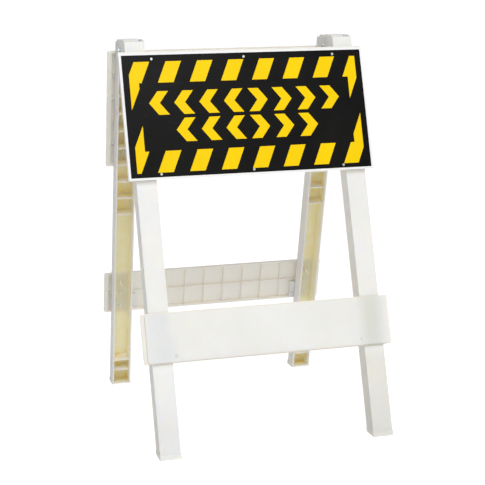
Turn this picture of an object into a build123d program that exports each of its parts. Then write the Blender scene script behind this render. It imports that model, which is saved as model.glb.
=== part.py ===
from build123d import *
import math
import os

os.makedirs("parts", exist_ok=True)

# Folding A-frame traffic barrier. Millimetres. X runs along the rails, the sign faces -Y,
# +Z is up and Z = 0 is the ground. The two frames lean towards each other and are hinged
# on one horizontal axis at Y = 0 near the top. "s" is the distance down a leg from its top,
# "u" the depth inwards from the outer face of the legs (negative u stands proud of it).

# Overall
height = 944.0
lean = 16.73
top_thickness = 117.2
FRONT, REAR = -1, 1

# Legs
leg_width = 49.3
leg_depth = 44.0
leg_wall = 3.5
rib_thickness = 2.6
rib_depth = 38.0
rib_pitch = 46.4
first_rib = 85.0
upper_rib_count = 9
foot_rib_high = 86.5
foot_rib_low = 55.5
foot_plate = 4.5
foot_bead_height = 12.0
foot_bead_proud = 1.0
brace_start = 21.0
brace_drop = 15.0
brace_depth = 22.0
brace_thickness = 5.0
brace_off_middle = 2.6
brace_run = 6.2

# Hinge
pivot_drop = 22.0
cheek_rise = 27.0
cheek_to_web = 12.95
cheek_nose = 40.0
shoulder_drop = 24.0
stop_gap = 0.3
sweep_clearance = 1.5
tongue_clearance = 1.0
lobe_radius = 28.5
tongue_foot_depth = 34.0
barrel_radius = 9.0
bolt_radius = 3.0
bolt_fit = 0.05
running_fit = 0.09
bolt_head_flats = 10.0
bolt_head_height = 4.0
nut_height = 5.0
bolt_tail = 2.0
washer_radius = 6.0
washer_thickness = 1.2
overcut = 1.0

# Rails
rail_past_sign = 0.3
rail_overhang = 19.2
rail_depth = 10.0
rail_flange = 5.0
rail_end_step = 9.0
rail_edge_step = 3.0
rail_skin = 3.0
rail_wall = 3.0
rail_corner = 5.0
grid_pitch = 54.2
grid_rib = 2.2
upper_rail_top = 25.7
upper_rail_extra = 3.5
lower_rail_above_foot = 339.1
lower_rail_drop = 119.0
upper_grid_rows = 4
lower_grid_rows = 1

# Sign, 24 x 12 inch sheet
sign_length = 609.6
sign_drop = 304.8
sign_set_down = 5.0
sign_thickness = 2.0
sign_corner = 1.5
sheeting_border_x = 5.9
sheeting_border_y = 5.5
sheeting_thickness = 0.3
print_thickness = 0.2
print_set_down = 2.8
ring_margin_x = 15.2
ring_margin_y = 13.4
ring_side = 22.5
ring_band = 51.4
stripe_pitch = 77.2
stripe_width = 37.8
stripe_slope = 0.445
stripe_start = 106.1
chevron_height = 57.0
chevron_width = 48.0
chevron_stroke = 26.0
chevron_pitch = 60.9
row_pitch = 66.0
row_margin = 7.0
row_off_middle = 4.2

# Fasteners
rivet_radius = 2.4
rivet_head_radius = 3.6
rivet_head_height = 1.3
rivet_tail_radius = 3.6
rivet_tail_height = 2.2
rivet_washer_radius = 6.0
rivet_washer_thickness = 1.0
rivet_fit = 0.1
sign_rivet_from_leg = 10.0
sign_rivet_from_top = 15.5
sign_rivet_from_bottom = 12.5
boss_radius = 6.0
lug_width = 15.0
lug_thickness = 3.0
lug_drop = 46.0
lug_rivet_inset = 8.6
lug_rivet_from_edge = 17.0
screw_radius = 2.1
screw_fit = 0.1
screw_head_radius = 4.2
screw_head_height = 2.6
screw_bite = 5.5
screw_end_room = 0.5
screw_head_draft = 12.0
rivet_head_draft = 30.0
rivet_tail_draft = 15.0
upper_screw_from_top = 86.0
upper_screw_from_bottom = 38.0
lower_screw_from_top = 58.0
lower_screw_from_bottom = 20.0

slope_sin = math.sin(math.radians(lean))
slope_cos = math.cos(math.radians(lean))
rail_length = sign_length + 2 * rail_past_sign
leg_inner = rail_length / 2 - rail_overhang - leg_width
leg_middle = leg_inner + leg_width / 2
leg_outer = leg_inner + leg_width
tongue_width = leg_width - 2 * leg_wall - 2 * tongue_clearance
pivot_height = height - pivot_drop
pivot_depth = top_thickness / 2 * slope_cos + pivot_drop * slope_sin
cheek_top = pivot_height + cheek_rise
cheek_radius = pivot_depth - leg_wall - cheek_to_web
shoulder_height = pivot_height - shoulder_drop
leg_length = height / slope_cos
upper_rail_drop = sign_drop + upper_rail_extra
lower_rail_top = leg_length - lower_rail_above_foot
upper_ribs = [first_rib + rib_pitch * k for k in range(upper_rib_count)]
foot_rib_drops = (leg_length - foot_rib_high, leg_length - foot_rib_low)
brace_ends = (lower_rail_top + brace_start, lower_rail_top + brace_start + brace_drop)
lug_rivet_drop = lower_rail_top + lower_rail_drop - lug_rivet_from_edge
sign_top = upper_rail_top + sign_set_down
sheeting_length = sign_length - 2 * sheeting_border_x
sheeting_drop = sign_drop - 2 * sheeting_border_y
sign_rivet_x = leg_inner - sign_rivet_from_leg
sign_rivet_drops = (sign_top + sign_rivet_from_top, sign_top + sign_drop - sign_rivet_from_bottom)


def mid_bay(s):
    """Middle of the rib bay nearest to s, where a screw head has room."""
    return first_rib + rib_pitch * (round((s - first_rib) / rib_pitch - 0.5) + 0.5)


upper_screw_drops = (
    mid_bay(upper_rail_top + upper_screw_from_top),
    mid_bay(upper_rail_top + upper_rail_drop - upper_screw_from_bottom),
)
lower_screw_drops = (
    lower_rail_top + lower_screw_from_top,
    lower_rail_top + lower_rail_drop - lower_screw_from_bottom,
)


def at(side, u, s):
    """Point (Y, Z) at depth u and distance s down the leg of the front or rear frame."""
    return (
        side * (top_thickness / 2 + s * slope_sin - u * slope_cos),
        height - s * slope_cos - u * slope_sin,
    )


def level(side, u, z):
    """Point (Y, Z) at depth u and height z."""
    s = (height - z - u * slope_sin) / slope_cos
    return at(side, u, s)


def across(x):
    """Plane square to X, whose own axes are Y and Z."""
    return Plane(origin=(x, 0, 0), x_dir=(0, 1, 0), z_dir=(1, 0, 0))


def facing(side, u):
    """Plane parallel to the outer face of a frame; its own y runs up the slope."""
    y, z = at(side, u, 0)
    return Plane(origin=(0, y, z), x_dir=(-side, 0, 0), z_dir=(0, side * slope_cos, slope_sin))


def channel(side, x):
    """Moulded channel leg with its open side inwards, closed at the foot."""
    with BuildSketch(across(x)) as outline:
        Polygon(
            level(side, 0, height), level(side, 0, 0),
            level(side, leg_depth, 0), level(side, leg_depth, height),
        )
    extrude(outline.sketch, amount=leg_width)


def foot_bead(side, x):
    """Low bead around the outer faces of the foot."""
    with BuildSketch(across(x - foot_bead_proud)) as outline:
        Polygon(
            level(side, -foot_bead_proud, foot_bead_height), level(side, -foot_bead_proud, 0),
            level(side, leg_depth, 0), level(side, leg_depth, foot_bead_height),
        )
    extrude(outline.sketch, amount=leg_width + 2 * foot_bead_proud)


def hollow(side, x, top):
    """Clears the inside of a channel between its two side walls."""
    deep = cheek_radius + leg_depth + top_thickness
    with BuildSketch(across(x + leg_wall)) as outline:
        Polygon(
            level(side, leg_wall, top), level(side, leg_wall, foot_plate),
            level(side, leg_wall + deep, foot_plate), level(side, leg_wall + deep, top),
        )
    extrude(outline.sketch, amount=leg_width - 2 * leg_wall, mode=Mode.SUBTRACT)


def cross_ribs(side, x, drops, depth):
    """Stiffening ribs across the channel, square to its length."""
    half = rib_thickness / 2
    with BuildSketch(across(x + leg_wall / 2)) as outline:
        for s in drops:
            Polygon(
                at(side, leg_wall / 2, s - half), at(side, depth, s - half),
                at(side, depth, s + half), at(side, leg_wall / 2, s + half),
            )
    extrude(outline.sketch, amount=leg_width - leg_wall)


def brace(side, x):
    """Small slanted rib behind the lower rail."""
    start = x + leg_width / 2 - brace_off_middle
    slant = -side * start, -side * (start + brace_run)
    half = brace_thickness / 2
    with BuildSketch(facing(side, leg_wall / 2)) as outline:
        Polygon(
            (slant[0] - half, -brace_ends[0]), (slant[0] + half, -brace_ends[0]),
            (slant[1] + half, -brace_ends[1]), (slant[1] - half, -brace_ends[1]),
        )
    extrude(outline.sketch, amount=-(brace_depth - leg_wall / 2))


def rail_lug(side, hand):
    """Ear on the inboard side of a leg that the lower rail is riveted to."""
    low = lower_rail_top + lower_rail_drop - rail_edge_step - rail_wall
    with BuildSketch(facing(side, 0)) as outline:
        with Locations((-side * hand * (leg_inner - lug_width / 2 + leg_wall / 2), -(low - lug_drop / 2))):
            Rectangle(lug_width + leg_wall, lug_drop)
    extrude(outline.sketch, amount=-lug_thickness)
    with BuildSketch(facing(side, 0)) as outline:
        with Locations((-side * hand * (leg_inner - lug_rivet_inset), -lug_rivet_drop)):
            Circle(rivet_radius + rivet_fit)
    extrude(outline.sketch, amount=-lug_thickness, mode=Mode.SUBTRACT)


def screw_holes(side, hand):
    """Clearance holes through the web for the rail screws."""
    with BuildSketch(facing(side, 0)) as outline:
        for s in upper_screw_drops + lower_screw_drops:
            with Locations((-side * hand * leg_middle, -s)):
                Circle(screw_radius + screw_fit)
    extrude(outline.sketch, amount=-leg_wall, mode=Mode.SUBTRACT)


def front_leg(hand):
    """Front leg; its side walls widen into two cheeks that carry the hinge bolt."""
    x = leg_inner if hand > 0 else -leg_outer
    channel(FRONT, x)
    rise = math.sqrt(cheek_radius**2 - (cheek_top - pivot_height) ** 2)
    fall = math.sqrt(cheek_radius**2 - shoulder_drop**2)
    with BuildSketch(across(x)) as outline:
        with BuildLine():
            Polyline(
                (fall, shoulder_height), level(FRONT, 0, shoulder_height), level(FRONT, 0, height),
                (-cheek_nose, cheek_top), (rise, cheek_top),
            )
            ThreePointArc((rise, cheek_top), (cheek_radius, pivot_height), (fall, shoulder_height))
        make_face()
    extrude(outline.sketch, amount=leg_width)
    foot_bead(FRONT, x)
    hollow(FRONT, x, cheek_top + cheek_radius)
    cross_ribs(FRONT, x, [first_rib - rib_pitch] + upper_ribs, rib_depth)
    cross_ribs(FRONT, x, foot_rib_drops, rib_depth)
    brace(FRONT, x)
    rail_lug(FRONT, hand)
    screw_holes(FRONT, hand)
    with BuildSketch(across(x - overcut)) as outline:
        with Locations((0, pivot_height)):
            Circle(bolt_radius + bolt_fit)
    extrude(outline.sketch, amount=leg_width + 2 * overcut, mode=Mode.SUBTRACT)


def rear_leg(hand):
    """Rear leg; a narrower tongue reaches between the front cheeks to the hinge bolt."""
    x = leg_inner if hand > 0 else -leg_outer
    tongue_x = x + leg_wall + tongue_clearance
    reach = cheek_radius + sweep_clearance
    channel(REAR, x)
    foot_bead(REAR, x)
    hollow(REAR, x, height + leg_depth)
    # the side walls stop short of the front cheeks: a round sweep above a flat shoulder
    low = shoulder_height - stop_gap
    fall = math.sqrt(reach**2 - (pivot_height - low) ** 2)
    with BuildSketch(across(x - overcut)) as outline:
        with BuildLine():
            Polyline((0, pivot_height + reach), (-reach, pivot_height + reach), (-reach, low), (fall, low))
            ThreePointArc((fall, low), (reach, pivot_height), (0, pivot_height + reach))
        make_face()
    extrude(outline.sketch, amount=leg_width + 2 * overcut, mode=Mode.SUBTRACT)
    # tongue: two walls, a barrel round the bolt and the web of the leg behind them
    foot = at(REAR, tongue_foot_depth, first_rib)
    web_foot = at(REAR, leg_wall / 2, first_rib)
    web_top = level(REAR, leg_wall / 2, height)
    span = math.hypot(foot[0], foot[1] - pivot_height)
    turn = math.atan2(foot[1] - pivot_height, foot[0]) - math.acos(lobe_radius / span)
    touch = (lobe_radius * math.cos(turn), pivot_height + lobe_radius * math.sin(turn))
    for wall_x in (tongue_x, tongue_x + tongue_width - leg_wall):
        with BuildSketch(across(wall_x)) as outline:
            with BuildLine():
                Polyline((0, pivot_height + lobe_radius), web_top, web_foot, foot, touch)
                ThreePointArc(touch, (-lobe_radius, pivot_height), (0, pivot_height + lobe_radius))
            make_face()
        extrude(outline.sketch, amount=leg_wall)
    with BuildSketch(across(tongue_x)) as outline:
        with Locations((0, pivot_height)):
            Circle(barrel_radius)
    extrude(outline.sketch, amount=tongue_width)
    # curved roof over the tongue
    with BuildSketch(across(tongue_x)) as outline:
        with BuildLine():
            inner = lobe_radius - leg_wall
            Polyline(
                (0, pivot_height + lobe_radius), web_top,
                (web_top[0], web_top[1] - leg_wall), (0, pivot_height + inner),
            )
            ThreePointArc(
                (0, pivot_height + inner),
                (-inner * math.sin(math.pi / 4), pivot_height + inner * math.cos(math.pi / 4)),
                (-inner, pivot_height),
            )
            Line((-inner, pivot_height), (-lobe_radius, pivot_height))
            ThreePointArc(
                (-lobe_radius, pivot_height),
                (-lobe_radius * math.sin(math.pi / 4), pivot_height + lobe_radius * math.cos(math.pi / 4)),
                (0, pivot_height + lobe_radius),
            )
        make_face()
    extrude(outline.sketch, amount=tongue_width)
    cross_ribs(REAR, x, upper_ribs, rib_depth)
    cross_ribs(REAR, x, foot_rib_drops, rib_depth)
    brace(REAR, x)
    rail_lug(REAR, hand)
    screw_holes(REAR, hand)
    with BuildSketch(across(tongue_x - overcut)) as outline:
        with Locations((0, pivot_height)):
            Circle(bolt_radius + running_fit)
    extrude(outline.sketch, amount=tongue_width + 2 * overcut, mode=Mode.SUBTRACT)


def rail(side, top, drop, rows, screw_drops, rivets):
    """Tray-shaped rail: end flanges, raised face, open gridded back with bosses."""
    middle = top + drop / 2
    face_length = rail_length - 2 * rail_end_step
    face_drop = drop - 2 * rail_edge_step
    deep = rail_depth - rail_skin
    with BuildSketch(facing(side, 0)) as outline:
        with Locations((0, -middle)):
            RectangleRounded(rail_length, drop, rail_corner)
    extrude(outline.sketch, amount=rail_flange)
    with BuildSketch(facing(side, 0)) as outline:
        with Locations((0, -middle)):
            RectangleRounded(face_length, face_drop, rail_corner)
    extrude(outline.sketch, amount=rail_depth)
    with BuildSketch(facing(side, 0)) as outline:
        with Locations((0, -middle)):
            Rectangle(face_length - 2 * rail_wall, face_drop - 2 * rail_wall)
    extrude(outline.sketch, amount=deep, mode=Mode.SUBTRACT)
    columns = int((face_length / 2 - rail_wall) / grid_pitch + 0.5)
    row_pitch = face_drop / (rows + 1)
    with BuildSketch(facing(side, 0)) as outline:
        for k in range(columns):
            for sign in (-1, 1):
                with Locations((sign * (k + 0.5) * grid_pitch, -middle)):
                    Rectangle(grid_rib, face_drop - rail_wall)
        for k in range(rows):
            with Locations((0, -(top + rail_edge_step + row_pitch * (k + 1)))):
                Rectangle(face_length - rail_wall, grid_rib)
        for x in (-leg_middle, leg_middle):
            for s in screw_drops:
                with Locations((x, -s)):
                    Circle(boss_radius)
        for x, s in rivets:
            with Locations((x, -s)):
                Circle(boss_radius)
    extrude(outline.sketch, amount=deep + rail_skin / 2)
    with BuildSketch(facing(side, 0)) as outline:
        for x in (-leg_middle, leg_middle):
            for s in screw_drops:
                with Locations((x, -s)):
                    Circle(screw_radius + screw_fit / 2)
    extrude(outline.sketch, amount=screw_bite + screw_end_room, mode=Mode.SUBTRACT)
    if rivets:
        with BuildSketch(facing(side, 0)) as outline:
            for x, s in rivets:
                with Locations((x, -s)):
                    Circle(rivet_radius + rivet_fit)
        extrude(outline.sketch, amount=rail_depth, mode=Mode.SUBTRACT)


def rail_screws(side, drops):
    """Pan-head screws driven outwards through the web of each leg into the rail bosses."""
    spots = [(x, -s) for x in (-leg_middle, leg_middle) for s in drops]
    with BuildSketch(facing(side, leg_wall)) as outline:
        with Locations(*spots):
            Circle(screw_radius)
    extrude(outline.sketch, amount=leg_wall + screw_bite)
    with BuildSketch(facing(side, leg_wall)) as outline:
        with Locations(*spots):
            Circle(screw_head_radius)
    extrude(outline.sketch, amount=-screw_head_height, taper=screw_head_draft)


def rivet_set(side, spots, front_u, back_u):
    """Domed rivets whose heads sit at depth front_u and whose tails are set at back_u."""
    points = [(x, -s) for x, s in spots]
    with BuildSketch(facing(side, back_u)) as outline:
        with Locations(*points):
            Circle(rivet_radius)
    extrude(outline.sketch, amount=back_u - front_u)
    with BuildSketch(facing(side, front_u)) as outline:
        with Locations(*points):
            Circle(rivet_head_radius)
    extrude(outline.sketch, amount=rivet_head_height, taper=rivet_head_draft)
    with BuildSketch(facing(side, back_u)) as outline:
        with Locations(*points):
            Circle(rivet_tail_radius)
    extrude(outline.sketch, amount=-rivet_tail_height, taper=rivet_tail_draft)


# Legs
with BuildPart() as front_left_leg:
    front_leg(-1)
with BuildPart() as front_right_leg:
    front_leg(1)
with BuildPart() as rear_left_leg:
    rear_leg(-1)
with BuildPart() as rear_right_leg:
    rear_leg(1)

# Rails
sign_rivets_at = [(x, s) for s in sign_rivet_drops for x in (-sign_rivet_x, 0.0, sign_rivet_x)]
lug_rivets_at = [(x, lug_rivet_drop) for x in (-leg_inner + lug_rivet_inset, leg_inner - lug_rivet_inset)]
with BuildPart() as front_upper_rail:
    rail(FRONT, upper_rail_top, upper_rail_drop, upper_grid_rows, upper_screw_drops, sign_rivets_at)
with BuildPart() as front_lower_rail:
    rail(FRONT, lower_rail_top, lower_rail_drop, lower_grid_rows, lower_screw_drops, lug_rivets_at)
with BuildPart() as rear_upper_rail:
    rail(REAR, upper_rail_top, upper_rail_drop, upper_grid_rows, upper_screw_drops, [])
with BuildPart() as rear_lower_rail:
    rail(REAR, lower_rail_top, lower_rail_drop, lower_grid_rows, lower_screw_drops, lug_rivets_at)

# Sign: sheet, black sheeting, yellow border stripes and yellow chevrons
sign_middle = sign_top + sign_drop / 2
sheet_u = -rail_depth
sheeting_u = sheet_u - sign_thickness
print_u = sheeting_u - sheeting_thickness
with BuildPart() as sign_panel:
    with BuildSketch(facing(FRONT, sheet_u)):
        with Locations((0, -sign_middle)):
            RectangleRounded(sign_length, sign_drop, sign_corner)
        for x, s in sign_rivets_at:
            with Locations((x, -s)):
                Circle(rivet_radius + rivet_fit, mode=Mode.SUBTRACT)
    extrude(amount=sign_thickness)
with BuildPart() as sign_sheeting:
    with BuildSketch(facing(FRONT, sheeting_u)):
        with Locations((0, -sign_middle)):
            Rectangle(sheeting_length, sheeting_drop)
        for x, s in sign_rivets_at:
            with Locations((x, -s)):
                Circle(rivet_radius + rivet_fit, mode=Mode.SUBTRACT)
    extrude(amount=sheeting_thickness)

left = -sheeting_length / 2
ring_middle = -sign_middle - print_set_down
ring_length = sheeting_length - 2 * ring_margin_x
ring_drop = sheeting_drop - 2 * ring_margin_y
ring_top = ring_middle + ring_drop / 2
with BuildPart() as sign_stripes:
    with BuildSketch(facing(FRONT, print_u)):
        run = stripe_slope * ring_drop
        # the slanted bars start left of the sheeting and run on past its right edge
        for k in range(-2, int((sheeting_length + run) / stripe_pitch) + 1):
            x = left + stripe_start + stripe_pitch * k
            Polygon(
                (x, ring_top), (x + stripe_width, ring_top),
                (x + stripe_width - run, ring_top - ring_drop), (x - run, ring_top - ring_drop),
            )
        with Locations((0, ring_middle)):
            Rectangle(ring_length, ring_drop, mode=Mode.INTERSECT)
            Rectangle(
                ring_length - 2 * ring_side, ring_drop - 2 * ring_band, mode=Mode.SUBTRACT
            )
        for x, s in sign_rivets_at:
            with Locations((x, -s)):
                Circle(rivet_head_radius + rivet_fit, mode=Mode.SUBTRACT)
    extrude(amount=print_thickness)


def chevron_row(count, y):
    """A row of chevrons that point away from the middle of the sign."""
    for k in range(count):
        x = (k - (count - 1) / 2) * chevron_pitch - row_off_middle
        way = 1 if k > (count - 1) / 2 else -1
        tail, tip = x - way * chevron_width / 2, x + way * chevron_width / 2
        half = chevron_height / 2
        Polygon(
            (tail, y + half), (tail + way * chevron_stroke, y + half), (tip, y),
            (tail + way * chevron_stroke, y - half), (tail, y - half),
            (tip - way * chevron_stroke, y),
        )


per_row = int((ring_length - 2 * ring_side + chevron_pitch - chevron_width - row_margin) / chevron_pitch)
rows = int((ring_drop - 2 * ring_band + row_pitch - chevron_height - row_margin) / row_pitch)
with BuildPart() as sign_symbols:
    with BuildSketch(facing(FRONT, print_u)):
        for k in range(rows):
            chevron_row(per_row - 2 * k, ring_middle - (k - (rows - 1) / 2) * row_pitch)
    extrude(amount=print_thickness)

# Fasteners
with BuildPart() as sign_rivets:
    rivet_set(FRONT, sign_rivets_at, print_u, rivet_washer_thickness)
with BuildPart() as sign_rivet_washers:
    with BuildSketch(facing(FRONT, 0)):
        for x, s in sign_rivets_at:
            with Locations((x, -s)):
                Circle(rivet_washer_radius)
                Circle(rivet_radius + rivet_fit, mode=Mode.SUBTRACT)
    extrude(amount=-rivet_washer_thickness)
with BuildPart() as front_rail_rivets:
    rivet_set(FRONT, lug_rivets_at, -rail_depth, lug_thickness)
with BuildPart() as rear_rail_rivets:
    rivet_set(REAR, lug_rivets_at, -rail_depth, lug_thickness)
with BuildPart() as front_upper_screws:
    rail_screws(FRONT, upper_screw_drops)
with BuildPart() as front_lower_screws:
    rail_screws(FRONT, lower_screw_drops)
with BuildPart() as rear_upper_screws:
    rail_screws(REAR, upper_screw_drops)
with BuildPart() as rear_lower_screws:
    rail_screws(REAR, lower_screw_drops)

bolt_out = leg_outer + washer_thickness
bolt_in = leg_inner - washer_thickness - nut_height - bolt_tail
with BuildPart() as hinge_bolts:
    for hand in (-1, 1):
        with BuildSketch(across(hand * bolt_in)):
            with Locations((0, pivot_height)):
                Circle(bolt_radius)
        extrude(amount=hand * (bolt_out - bolt_in))
        with BuildSketch(across(hand * bolt_out)):
            with Locations((0, pivot_height)):
                RegularPolygon(bolt_head_flats / 2, 6, major_radius=False)
        extrude(amount=hand * bolt_head_height)
with BuildPart() as hinge_nuts:
    for hand in (-1, 1):
        with BuildSketch(across(hand * (leg_inner - washer_thickness))):
            with Locations((0, pivot_height)):
                RegularPolygon(bolt_head_flats / 2, 6, major_radius=False)
                Circle(bolt_radius + bolt_fit, mode=Mode.SUBTRACT)
        extrude(amount=-hand * nut_height)
with BuildPart() as hinge_washers:
    for x in (-leg_outer - washer_thickness, -leg_inner, leg_inner - washer_thickness, leg_outer):
        with BuildSketch(across(x)):
            with Locations((0, pivot_height)):
                Circle(washer_radius)
                Circle(bolt_radius + bolt_fit, mode=Mode.SUBTRACT)
        extrude(amount=washer_thickness)

front_left_leg.part.label = "front_left_leg"
front_right_leg.part.label = "front_right_leg"
rear_left_leg.part.label = "rear_left_leg"
rear_right_leg.part.label = "rear_right_leg"
front_upper_rail.part.label = "front_upper_rail"
front_lower_rail.part.label = "front_lower_rail"
rear_upper_rail.part.label = "rear_upper_rail"
rear_lower_rail.part.label = "rear_lower_rail"
sign_panel.part.label = "sign_panel"
sign_sheeting.part.label = "sign_sheeting"
sign_stripes.part.label = "sign_stripes"
sign_symbols.part.label = "sign_symbols"
sign_rivets.part.label = "sign_rivets"
sign_rivet_washers.part.label = "sign_rivet_washers"
front_rail_rivets.part.label = "front_rail_rivets"
rear_rail_rivets.part.label = "rear_rail_rivets"
front_upper_screws.part.label = "front_upper_screws"
front_lower_screws.part.label = "front_lower_screws"
rear_upper_screws.part.label = "rear_upper_screws"
rear_lower_screws.part.label = "rear_lower_screws"
hinge_bolts.part.label = "hinge_bolts"
hinge_nuts.part.label = "hinge_nuts"
hinge_washers.part.label = "hinge_washers"

export_step(front_left_leg.part, "parts/front_left_leg.step")
export_step(front_right_leg.part, "parts/front_right_leg.step")
export_step(rear_left_leg.part, "parts/rear_left_leg.step")
export_step(rear_right_leg.part, "parts/rear_right_leg.step")
export_step(front_upper_rail.part, "parts/front_upper_rail.step")
export_step(front_lower_rail.part, "parts/front_lower_rail.step")
export_step(rear_upper_rail.part, "parts/rear_upper_rail.step")
export_step(rear_lower_rail.part, "parts/rear_lower_rail.step")
export_step(sign_panel.part, "parts/sign_panel.step")
export_step(sign_sheeting.part, "parts/sign_sheeting.step")
export_step(sign_stripes.part, "parts/sign_stripes.step")
export_step(sign_symbols.part, "parts/sign_symbols.step")
export_step(sign_rivets.part, "parts/sign_rivets.step")
export_step(sign_rivet_washers.part, "parts/sign_rivet_washers.step")
export_step(front_rail_rivets.part, "parts/front_rail_rivets.step")
export_step(rear_rail_rivets.part, "parts/rear_rail_rivets.step")
export_step(front_upper_screws.part, "parts/front_upper_screws.step")
export_step(front_lower_screws.part, "parts/front_lower_screws.step")
export_step(rear_upper_screws.part, "parts/rear_upper_screws.step")
export_step(rear_lower_screws.part, "parts/rear_lower_screws.step")
export_step(hinge_bolts.part, "parts/hinge_bolts.step")
export_step(hinge_nuts.part, "parts/hinge_nuts.step")
export_step(hinge_washers.part, "parts/hinge_washers.step")
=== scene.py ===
import math

import bpy
from mathutils import Matrix, Vector

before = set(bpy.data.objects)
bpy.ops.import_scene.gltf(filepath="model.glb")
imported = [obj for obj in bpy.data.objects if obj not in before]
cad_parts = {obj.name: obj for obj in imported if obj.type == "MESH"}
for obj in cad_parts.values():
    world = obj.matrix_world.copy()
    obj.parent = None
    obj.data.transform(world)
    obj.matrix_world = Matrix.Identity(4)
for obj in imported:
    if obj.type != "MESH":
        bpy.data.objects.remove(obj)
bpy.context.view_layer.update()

# Sizes shared with the CAD model, in metres
FRONT, REAR = -1, 1
HEIGHT = 0.944
LEAN = math.radians(16.73)
TOP = 0.1172
LEG_MIDDLE = 0.26125
LEG_WIDTH = 0.0493
LEG_DEPTH = 0.044
LEG_WALL = 0.0035
TRAY_FLOOR = -0.0070
SIN, COS = math.sin(LEAN), math.cos(LEAN)

# Places down the slope of a frame, in metres from the top of its legs
BLOCK_END = 0.060
RIBS_END = 0.459
LOWER_RAIL = 0.610
FOOT_RIBS = 0.890

# Rounding of edges, in metres
MOULDED_EDGE = 0.0007
SHEET_EDGE = 0.0004


# ---------------------------------------------------------------- node helpers
class Tree:
    """Short calls for building a material's nodes."""

    def __init__(self, name):
        self.mat = bpy.data.materials.new(name)
        self.mat.use_nodes = True
        self.t = self.mat.node_tree
        self.t.nodes.clear()
        self.out = self.t.nodes.new("ShaderNodeOutputMaterial")
        self.bsdf = self.t.nodes.new("ShaderNodeBsdfPrincipled")
        self.t.links.new(self.bsdf.outputs[0], self.out.inputs[0])
        self.coords = self.t.nodes.new("ShaderNodeTexCoord")
        self.xyz = None

    def put(self, socket, value):
        if hasattr(value, "is_output"):
            self.t.links.new(value, socket)
        else:
            socket.default_value = value

    def shader(self, **values):
        for key, value in values.items():
            self.put(self.bsdf.inputs[key.replace("_", " ")], value)

    def position(self):
        return self.coords.outputs["Object"]

    def axis(self, i):
        if self.xyz is None:
            self.xyz = self.t.nodes.new("ShaderNodeSeparateXYZ")
            self.t.links.new(self.position(), self.xyz.inputs[0])
        return self.xyz.outputs[i]

    def math(self, op, a, b=None, c=None, clamp=False):
        n = self.t.nodes.new("ShaderNodeMath")
        n.operation = op
        n.use_clamp = clamp
        for k, v in enumerate((a, b, c)):
            if v is not None:
                self.put(n.inputs[k], v)
        return n.outputs[0]

    def times(self, first, *others):
        for other in others:
            first = self.math("MULTIPLY", first, other)
        return first

    def stretch(self, scale):
        n = self.t.nodes.new("ShaderNodeMapping")
        self.t.links.new(self.position(), n.inputs["Vector"])
        n.inputs["Scale"].default_value = scale
        return n.outputs[0]

    def noise(self, scale, detail=3.0, rough=0.5, vector=None):
        n = self.t.nodes.new("ShaderNodeTexNoise")
        self.put(n.inputs["Vector"], vector or self.position())
        n.inputs["Scale"].default_value = scale
        n.inputs["Detail"].default_value = detail
        n.inputs["Roughness"].default_value = rough
        return n.outputs[0]

    def cells(self, scale):
        n = self.t.nodes.new("ShaderNodeTexVoronoi")
        self.put(n.inputs["Vector"], self.position())
        n.inputs["Scale"].default_value = scale
        return n.outputs["Distance"]

    def span(self, value, low, high, to_low=0.0, to_high=1.0):
        n = self.t.nodes.new("ShaderNodeMapRange")
        self.put(n.inputs["Value"], value)
        n.inputs["From Min"].default_value = low
        n.inputs["From Max"].default_value = high
        n.inputs["To Min"].default_value = to_low
        n.inputs["To Max"].default_value = to_high
        return n.outputs[0]

    def mix(self, factor, a, b):
        n = self.t.nodes.new("ShaderNodeMix")
        n.data_type = "RGBA"
        self.put(n.inputs["Factor"], factor)
        a_in = [s for s in n.inputs if s.name == "A" and s.type == "RGBA"][0]
        b_in = [s for s in n.inputs if s.name == "B" and s.type == "RGBA"][0]
        self.put(a_in, a if hasattr(a, "is_output") else (*a, 1.0))
        self.put(b_in, b if hasattr(b, "is_output") else (*b, 1.0))
        return [s for s in n.outputs if s.type == "RGBA"][0]

    def crease(self, reach):
        """Ambient occlusion factor for painted shade: 0 down in a crease, 1 on an open face."""
        n = self.t.nodes.new("ShaderNodeAmbientOcclusion")
        n.samples = 6
        n.inputs["Distance"].default_value = reach
        return self.span(n.outputs["AO"], 0.35, 0.80)

    def bump(self, height, strength, distance, normal=None):
        n = self.t.nodes.new("ShaderNodeBump")
        n.inputs["Strength"].default_value = strength
        n.inputs["Distance"].default_value = distance
        self.put(n.inputs["Height"], height)
        if normal is not None:
            self.t.links.new(normal, n.inputs["Normal"])
        return n.outputs[0]


def depth_and_drop(tree, side):
    """Depth inwards from the outer face of a frame, and distance down the slope, as nodes."""
    y, z = tree.axis(1), tree.axis(2)
    # inward unit vector is (-side * COS, -SIN) in (Y, Z); down the slope is (side * SIN, -COS)
    y0 = tree.math("SUBTRACT", y, side * TOP / 2)
    z0 = tree.math("SUBTRACT", z, HEIGHT)
    depth = tree.math("MULTIPLY_ADD", y0, -side * COS, tree.math("MULTIPLY", z0, -SIN))
    drop = tree.math("MULTIPLY_ADD", y0, side * SIN, tree.math("MULTIPLY", z0, -COS))
    return depth, drop


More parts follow.
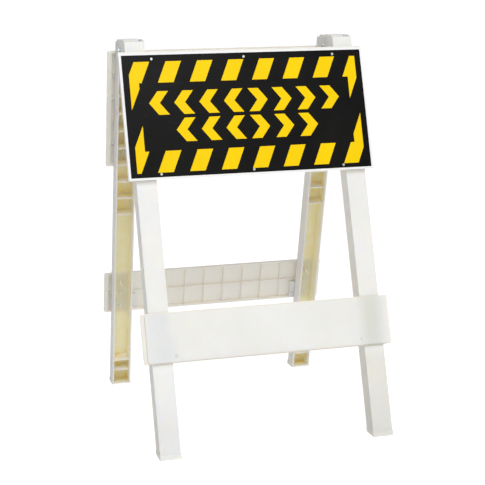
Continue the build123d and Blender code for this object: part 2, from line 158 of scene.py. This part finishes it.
def leg_colour(t, side, base):
    """Painted warm glow inside a leg's channel, for light through its walls, with painted light on the
    cream rims and painted shade on the hinge block.
    """
    depth, drop = depth_and_drop(t, side)
    off = t.math("ABSOLUTE", t.math("SUBTRACT", t.math("ABSOLUTE", t.axis(0)), LEG_MIDDLE))
    half = LEG_WIDTH / 2 - LEG_WALL
    between = t.span(off, half + 0.0008, half + 0.0002)
    behind = t.span(depth, LEG_WALL - 0.0012, LEG_WALL - 0.0004)
    below = t.span(drop, BLOCK_END - 0.004, BLOCK_END + 0.004)
    inside = t.times(between, behind, below)
    # painted glow: the channel turns yellower the deeper it goes, for light coming through the thin walls
    painted_glow = t.mix(t.span(depth, LEG_DEPTH, 0.004), (0.975, 0.93, 0.86), (0.965, 0.885, 0.68))
    # painted glow: amber patches deep in the channel, mostly in the ribbed stretches
    upper_cells = t.span(drop, RIBS_END + 0.015, RIBS_END - 0.015)
    foot_cells = t.span(drop, FOOT_RIBS - 0.010, FOOT_RIBS + 0.010)
    ribbed = t.math("ADD", upper_cells, foot_cells, clamp=True)
    glow_patches = t.span(t.noise(42.0, 2.0), 0.40, 0.60)
    painted_amber_glow = t.times(glow_patches, t.span(ribbed, 0.0, 1.0, 0.30, 0.85), t.span(depth, 0.038, 0.020))
    base = t.mix(inside, base, t.mix(painted_amber_glow, painted_glow, (0.96, 0.78, 0.47)))
    # painted light: the rims at the open back of the channel are lighter and cream
    painted_rim_light = t.times(t.span(depth, LEG_DEPTH - 0.0035, LEG_DEPTH - 0.0015), t.span(drop, 0.08, 0.12))
    base = t.mix(t.times(painted_rim_light, 0.75), base, (0.985, 0.93, 0.87))
    # painted shade: the hinge block at the top is darker and greener
    base = t.mix(t.span(drop, BLOCK_END, BLOCK_END / 2, 0.0, 0.35), base, (0.76, 0.76, 0.69))
    if side == FRONT:
        # the front right leg is greyer on its lowest stretch
        lower_right_grey = t.times(t.span(t.axis(0), 0.20, 0.22), t.span(drop, 0.75, 0.80))
        base = t.mix(t.times(lower_right_grey, 0.45), base, (0.72, 0.70, 0.64))
    return base, inside


def rail_colour(t, side, base):
    """Beige floor of the open-backed tray; the front face has one band of painted shade."""
    depth, drop = depth_and_drop(t, side)
    inside = t.span(depth, TRAY_FLOOR - 0.0004, TRAY_FLOOR)
    base = t.mix(inside, base, (0.955, 0.905, 0.835))
    if side == FRONT:
        # painted shade: a greyer band where the lower rail bows across the right leg
        band = t.times(t.span(t.axis(0), 0.222, 0.248), t.span(t.axis(0), 0.292, 0.266))
        low = t.span(drop, LOWER_RAIL - 0.010, LOWER_RAIL + 0.010)
        base = t.mix(t.times(band, low, 0.45), base, (0.72, 0.71, 0.60))
    return base, inside


def plastic(name, side, leg):
    """Off-white moulded polyethylene with soft blotches, painted shade in creases and upright scuffs."""
    t = Tree(name)
    blotch = t.span(t.noise(5.0, 2.0), 0.35, 0.65)
    fine = t.span(t.noise(38.0, 4.0, 0.6), 0.3, 0.7)
    base = t.mix(blotch, (0.88, 0.872, 0.835), (0.93, 0.925, 0.89))
    base = t.mix(t.times(fine, 0.25), base, (0.86, 0.85, 0.80))
    paint = leg_colour if leg else rail_colour
    base, inside = paint(t, side, base)
    # painted shade: creases are darkened by ambient occlusion, less inside the channels and trays than
    # outside
    crease_shade_weight = t.math("MULTIPLY_ADD", inside, -0.8 if leg else -0.5, 0.8)
    base = t.mix(t.times(t.math("SUBTRACT", 1.0, t.crease(0.006)), crease_shade_weight), base, (0.62, 0.60, 0.53))
    scuff = t.span(t.noise(60.0, 5.0, 0.7, t.stretch((1.0, 1.0, 0.12))), 0.60, 0.72)
    base = t.mix(t.times(scuff, 0.10), base, (0.62, 0.61, 0.58))
    t.shader(Base_Color=base, Roughness=t.span(t.noise(25.0, 3.0), 0.2, 0.8, 0.40, 0.56))
    t.bsdf.inputs["IOR"].default_value = 1.49
    t.bsdf.inputs["Subsurface Weight"].default_value = 0.9 if leg else 0.6
    t.bsdf.inputs["Subsurface Radius"].default_value = (0.012, 0.010, 0.007)
    t.bsdf.inputs["Subsurface Scale"].default_value = 0.7 if leg else 0.5
    flow = t.bump(t.noise(14.0, 2.0), 0.25, 0.0010)
    t.shader(Normal=t.bump(t.noise(900.0, 2.0), 0.12, 0.0002, flow))
    return t.mat


def film(name, low, high, roughness, bead):
    """Printed sign sheeting: a smooth film with a fine bead texture and faint handling marks."""
    t = Tree(name)
    tone = t.span(t.noise(9.0, 3.0), 0.3, 0.7)
    base = t.mix(tone, low, high)
    marks = t.span(t.noise(45.0, 6.0, 0.75, t.stretch((0.3, 1.0, 1.0))), 0.62, 0.75)
    base = t.mix(t.times(marks, 0.12), base, tuple(min(1.0, 0.6 * c + 0.12) for c in high))
    rough = t.span(t.noise(30.0, 4.0), 0.25, 0.75, roughness - 0.06, roughness + 0.08)
    t.shader(Base_Color=base, Roughness=rough)
    t.shader(Normal=t.bump(t.cells(bead), 0.10, 0.0001))
    t.bsdf.inputs["Specular IOR Level"].default_value = 0.10
    return t.mat


def metal(name, low, high, roughness):
    """Plated or bright metal with a fine turned grain and dull spots."""
    t = Tree(name)
    dull = t.span(t.noise(160.0, 4.0, 0.6), 0.35, 0.7)
    t.shader(
        Base_Color=t.mix(dull, low, high),
        Metallic=1.0,
        Roughness=t.span(t.noise(240.0, 3.0), 0.3, 0.7, roughness - 0.08, roughness + 0.12),
        Normal=t.bump(t.noise(1500.0, 2.0), 0.15, 0.0001),
    )
    return t.mat


def painted(name, low, high):
    """White painted fastener head, a little rubbed."""
    t = Tree(name)
    rubbed = t.span(t.noise(220.0, 4.0, 0.6), 0.35, 0.65)
    t.shader(
        Base_Color=t.mix(rubbed, low, high),
        Roughness=t.span(t.noise(300.0, 3.0), 0.3, 0.7, 0.36, 0.54),
        Normal=t.bump(t.noise(900.0, 2.0), 0.12, 0.0001),
    )
    return t.mat


materials = {
    "front_leg": plastic("front_leg_plastic", FRONT, True),
    "rear_leg": plastic("rear_leg_plastic", REAR, True),
    "front_rail": plastic("front_rail_plastic", FRONT, False),
    "rear_rail": plastic("rear_rail_plastic", REAR, False),
    "panel": film("sign_panel_white", (0.86, 0.86, 0.85), (0.91, 0.91, 0.905), 0.38, 900.0),
    "black": film("sheeting_black", (0.004, 0.004, 0.004), (0.007, 0.0065, 0.006), 0.34, 1400.0),
    "yellow": film("sheeting_yellow", (0.92, 0.605, 0.001), (0.96, 0.655, 0.001), 0.36, 1100.0),
    "zinc": metal("zinc_plate", (0.52, 0.53, 0.54), (0.68, 0.68, 0.67), 0.34),
    "painted": painted("painted_head", (0.74, 0.74, 0.72), (0.84, 0.84, 0.82)),
    "rivet": metal("rivet_aluminium", (0.50, 0.50, 0.51), (0.64, 0.64, 0.64), 0.42),
}


MATERIAL_WORDS = (
    ("panel", "panel"), ("sheeting", "black"), ("stripes", "yellow"), ("symbols", "yellow"),
    ("rail_rivets", "painted"), ("screws", "painted"), ("rivet", "rivet"),
)


def finish_for(name):
    """Material of a CAD node; the hinge hardware is left with the zinc."""
    if name.endswith(("_leg", "_rail")):
        return materials[name.split("_")[0] + "_" + name.split("_")[-1]]
    for word, key in MATERIAL_WORDS:
        if word in name:
            return materials[key]
    return materials["zinc"]


def joined_facets():
    """Node group that joins the facets of a CAD mesh and shades curved runs smooth and creases sharp."""
    group = bpy.data.node_groups.new("joined_facets", "GeometryNodeTree")
    for way in ("INPUT", "OUTPUT"):
        group.interface.new_socket("Geometry", in_out=way, socket_type="NodeSocketGeometry")
    put, link = group.nodes.new, group.links.new
    forget = put("GeometryNodeRemoveAttribute")
    forget.inputs["Name"].default_value = "custom_normal"
    join = put("GeometryNodeMergeByDistance")
    join.inputs["Distance"].default_value = 0.00001
    smooth = put("GeometryNodeSetShadeSmooth")
    smooth.domain = "FACE"
    crease = put("GeometryNodeSetShadeSmooth")
    crease.domain = "EDGE"
    crease.inputs["Shade Smooth"].default_value = False
    angle = put("GeometryNodeInputMeshEdgeAngle")
    steep = put("ShaderNodeMath")
    steep.operation = "GREATER_THAN"
    steep.inputs[1].default_value = math.radians(28)
    link(angle.outputs["Unsigned Angle"], steep.inputs[0])
    link(steep.outputs[0], crease.inputs["Selection"])
    chain = [put("NodeGroupInput"), forget, join, smooth, crease, put("NodeGroupOutput")]
    for before, after in zip(chain, chain[1:]):
        link(before.outputs[0], after.inputs[0])
    return group


JOINED = joined_facets()


def soften(obj, width):
    """Small rounding of a moulded or cut edge."""
    obj.modifiers.new("joined", "NODES").node_group = JOINED
    if obj.name.endswith("_leg"):
        flat_faces = obj.modifiers.new("flat_faces", "DECIMATE")
        flat_faces.decimate_type = "DISSOLVE"
        flat_faces.angle_limit = math.radians(0.4)
    bevel = obj.modifiers.new("bevel", "BEVEL")
    bevel.width = width
    bevel.segments = 2
    bevel.limit_method = "ANGLE"
    bevel.angle_limit = math.radians(35)
    bevel.use_clamp_overlap = True
    shade = obj.modifiers.new("shade", "WEIGHTED_NORMAL")
    shade.keep_sharp = True


for name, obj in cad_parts.items():
    obj.data.materials.clear()
    obj.data.materials.append(finish_for(name))
    if name.endswith(("_leg", "_rail")):
        soften(obj, MOULDED_EDGE)
    elif name == "sign_panel":
        soften(obj, SHEET_EDGE)


# ---------------------------------------------------------------- floor and light
def pale_floor(half, drop):
    """Plain white floor that fades into the backdrop and throws no light of its own on the part."""
    mesh = bpy.data.meshes.new("floor")
    corners = [(-half, -half, 0), (half, -half, 0), (half, half, 0), (-half, half, 0)]
    mesh.from_pydata(corners, [], [(0, 1, 2, 3)])
    obj = bpy.data.objects.new("floor", mesh)
    obj.location = (0, 0, -drop)
    bpy.context.scene.collection.objects.link(obj)
    t = Tree("floor")
    t.shader(Base_Color=(0.60, 0.60, 0.60, 1.0), Roughness=0.9, Specular_IOR_Level=0.0)
    t.shader(Emission_Color=(1.0, 1.0, 1.0, 1.0), Emission_Strength=0.80)
    mesh.materials.append(t.mat)
    obj.visible_diffuse = False
    obj.visible_glossy = False


pale_floor(450.0, 0.0005)


def studio_world(above, below, horizon, left):
    """Soft light from all round: strongest off the floor, weakest from the left, white at the horizon."""
    world = bpy.data.worlds.new("studio")
    bpy.context.scene.world = world
    world.use_nodes = True
    tree = world.node_tree
    coords = tree.nodes.new("ShaderNodeTexCoord")
    split = tree.nodes.new("ShaderNodeSeparateXYZ")
    tree.links.new(coords.outputs["Generated"], split.inputs[0])

    def ramp(low, high, to_low, to_high, axis=2):
        node = tree.nodes.new("ShaderNodeMapRange")
        ends = {"From Min": low, "From Max": high, "To Min": to_low, "To Max": to_high}
        for key, value in ends.items():
            node.inputs[key].default_value = value
        tree.links.new(split.outputs[axis], node.inputs["Value"])
        return node.outputs[0]

    band = tree.nodes.new("ShaderNodeMath")
    band.operation = "MULTIPLY"
    tree.links.new(ramp(-0.10, 0.0, below / horizon, 1.0), band.inputs[0])
    tree.links.new(ramp(0.05, 0.16, horizon, above), band.inputs[1])
    flag = tree.nodes.new("ShaderNodeMath")
    flag.operation = "MULTIPLY"
    tree.links.new(band.outputs[0], flag.inputs[0])
    tree.links.new(ramp(-0.85, -0.15, left, 1.0, 0), flag.inputs[1])
    tree.nodes["Background"].inputs[0].default_value = (1.0, 1.0, 1.0, 1.0)
    tree.links.new(flag.outputs[0], tree.nodes["Background"].inputs[1])


studio_world(0.49, 1.04, 1.08, 0.58)


def area(name, azimuth, elevation, reach, size, level, target=(0, 0, 0.5)):
    """A soft square lamp aimed at a point; level is its share of a white surface facing it."""
    data = bpy.data.lights.new(name, "AREA")
    data.shape = "SQUARE"
    data.size = size
    data.energy = level * (math.pi * reach) ** 2
    obj = bpy.data.objects.new(name, data)
    a, e = math.radians(azimuth), math.radians(elevation)
    way = Vector((math.sin(a) * math.cos(e), -math.cos(a) * math.cos(e), math.sin(e)))
    obj.location = Vector(target) + reach * way
    obj.rotation_euler = way.to_track_quat("Z", "Y").to_euler()
    bpy.context.scene.collection.objects.link(obj)


area("key", -5, 48, 4.9, 2.4, 0.49)

# The photographic tone is plain, with a pure white ground
bpy.context.scene.view_settings.view_transform = "Standard"

# ---------------------------------------------------------------- camera
LENS = 94.1864
SENSOR = 36.0
camera_at = Vector((-0.8337, -3.0649, 1.0147))
yaw, pitch, roll = math.radians(15.435), math.radians(-10.399), math.radians(-1.031)
forward = Vector((math.sin(yaw) * math.cos(pitch), math.cos(yaw) * math.cos(pitch), math.sin(pitch)))
right = Vector((math.cos(yaw), -math.sin(yaw), 0))
up = right.cross(forward)
side_way = math.cos(roll) * right + math.sin(roll) * up
up_way = -math.sin(roll) * right + math.cos(roll) * up
camera_data = bpy.data.cameras.new("camera")
camera_data.sensor_fit = "HORIZONTAL"
camera_data.sensor_width = SENSOR
camera_data.lens = LENS
camera = bpy.data.objects.new("camera", camera_data)
turn = Matrix((side_way, up_way, -forward)).transposed().to_4x4()
camera.matrix_world = Matrix.Translation(camera_at) @ turn
bpy.context.scene.collection.objects.link(camera)
bpy.context.scene.camera = camera

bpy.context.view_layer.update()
